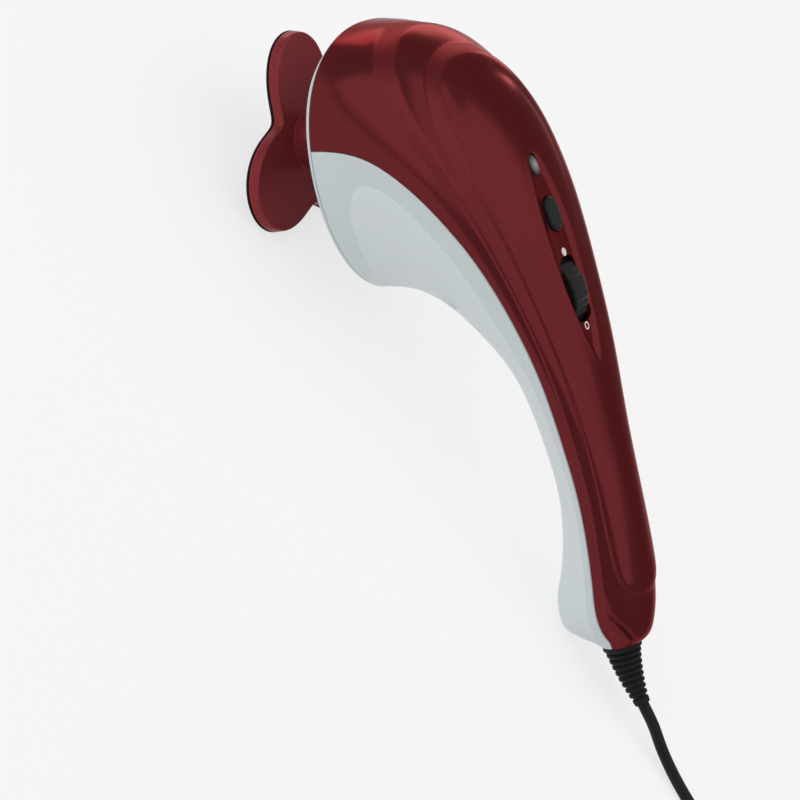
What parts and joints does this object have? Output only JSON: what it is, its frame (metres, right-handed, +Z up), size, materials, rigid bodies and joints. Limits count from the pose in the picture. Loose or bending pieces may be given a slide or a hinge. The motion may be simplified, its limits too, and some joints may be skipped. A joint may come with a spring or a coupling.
{
  "type": "handheld hot and cold massager",
  "caption": "Arched handheld massager: two-shell body, reciprocating post with a lobed massage head, heat button, speed wheel, ribbed bend relief and a mains lead put away in a coil.",
  "frame": {"origin": "on the surface the massager stands on, at the middle of the footprint of everything but the free lead", "axes": "+X from head to tail along the body, +Z up, the body symmetric about the XZ plane"},
  "size_m": [0.5053, 0.1578, 0.1244],
  "materials": {
    "maroon_shell": "satin metallic maroon lacquer",
    "silver_shell": "satin silver paint, finely textured on the grip pads",
    "black_plastic": "satin",
    "black_rubber": "soft matte",
    "cord_jacket": "smooth vinyl",
    "white_nylon": "moulded",
    "smoked_lens": "polished",
    "circuit_board": "solder mask",
    "steel": "zinc plated",
    "brass_contact": "bright",
    "bronze": "sintered"
  },
  "bodies": {
    "body": {"top_shell": "maroon_shell", "bottom_shell": "silver_shell", "face_ring": "silver_shell", "face_cover": "silver_shell", "post_seal": "black_rubber", "drive_chassis": "white_nylon", "guide_bush_1": "bronze", "guide_bush_2": "bronze", "motor_can": "steel", "motor_endcap": "black_plastic", "motor_strap_1": "steel", "motor_strap_2": "steel", "led_lens": "smoked_lens", "led": "white_nylon", "heat_switch": "black_plastic", "speed_control": "black_plastic", "control_board": "circuit_board", "board_screw_1": "steel", "board_screw_2": "steel", "housing_screw_1": "steel", "housing_screw_2": "steel", "housing_screw_3": "steel", "housing_screw_4": "steel", "chassis_screw_1": "steel", "chassis_screw_2": "steel", "chassis_screw_3": "steel", "chassis_screw_4": "steel", "strap_screw_1": "steel", "strap_screw_2": "steel", "strap_screw_3": "steel", "strap_screw_4": "steel", "inner_lead": "cord_jacket", "motor_lead": "cord_jacket", "cord_clamp": "black_plastic", "clamp_screw_1": "steel", "clamp_screw_2": "steel", "strain_relief": "black_rubber", "power_cord": "cord_jacket", "cord_coil": "cord_jacket", "plug_body": "cord_jacket", "plug_blade_1": "brass_contact", "plug_blade_2": "brass_contact"},
    "rotor": {"motor_shaft": "steel", "eccentric_cam": "black_plastic", "cam_bearing": "steel"},
    "plunger": {"plunger_shaft": "steel", "drive_yoke": "white_nylon", "attachment_post": "black_plastic", "post_ring": "black_rubber", "contact_pin_1": "brass_contact", "contact_pin_2": "brass_contact"},
    "massage_head": {"head_plate": "maroon_shell", "head_pad": "black_rubber"},
    "button": {"heat_button": "black_plastic"},
    "wheel": {"speed_wheel": "black_plastic", "wheel_axle": "steel"}
  },
  "joints": [
    {"name": "motor_spin", "type": "hinge", "parent": "body", "child": "rotor", "pos_m": [-0.08678, 0, 0.09471], "axis": [-0.8453, 0, 0.5342], "continuous": true},
    {"name": "post_stroke", "type": "slide", "parent": "body", "child": "plunger", "axis": [-0.5342, 0, -0.8453], "range_m": [0, 0.004]},
    {"name": "head_pull_off", "type": "slide", "parent": "plunger", "child": "massage_head", "axis": [-0.5342, 0, -0.8453], "range_m": [0, 0.017]},
    {"name": "heat_press", "type": "slide", "parent": "body", "child": "button", "axis": [-0.2878, 0, -0.9577], "range_m": [0, 0.0012], "stiffness_N_per_m": 1200, "springref_m": -0.0008},
    {"name": "speed_turn", "type": "hinge", "parent": "body", "child": "wheel", "pos_m": [-0.0063, 0, 0.08574], "axis": [0, 1, 0], "range_deg": [0, 270]}
  ]
}
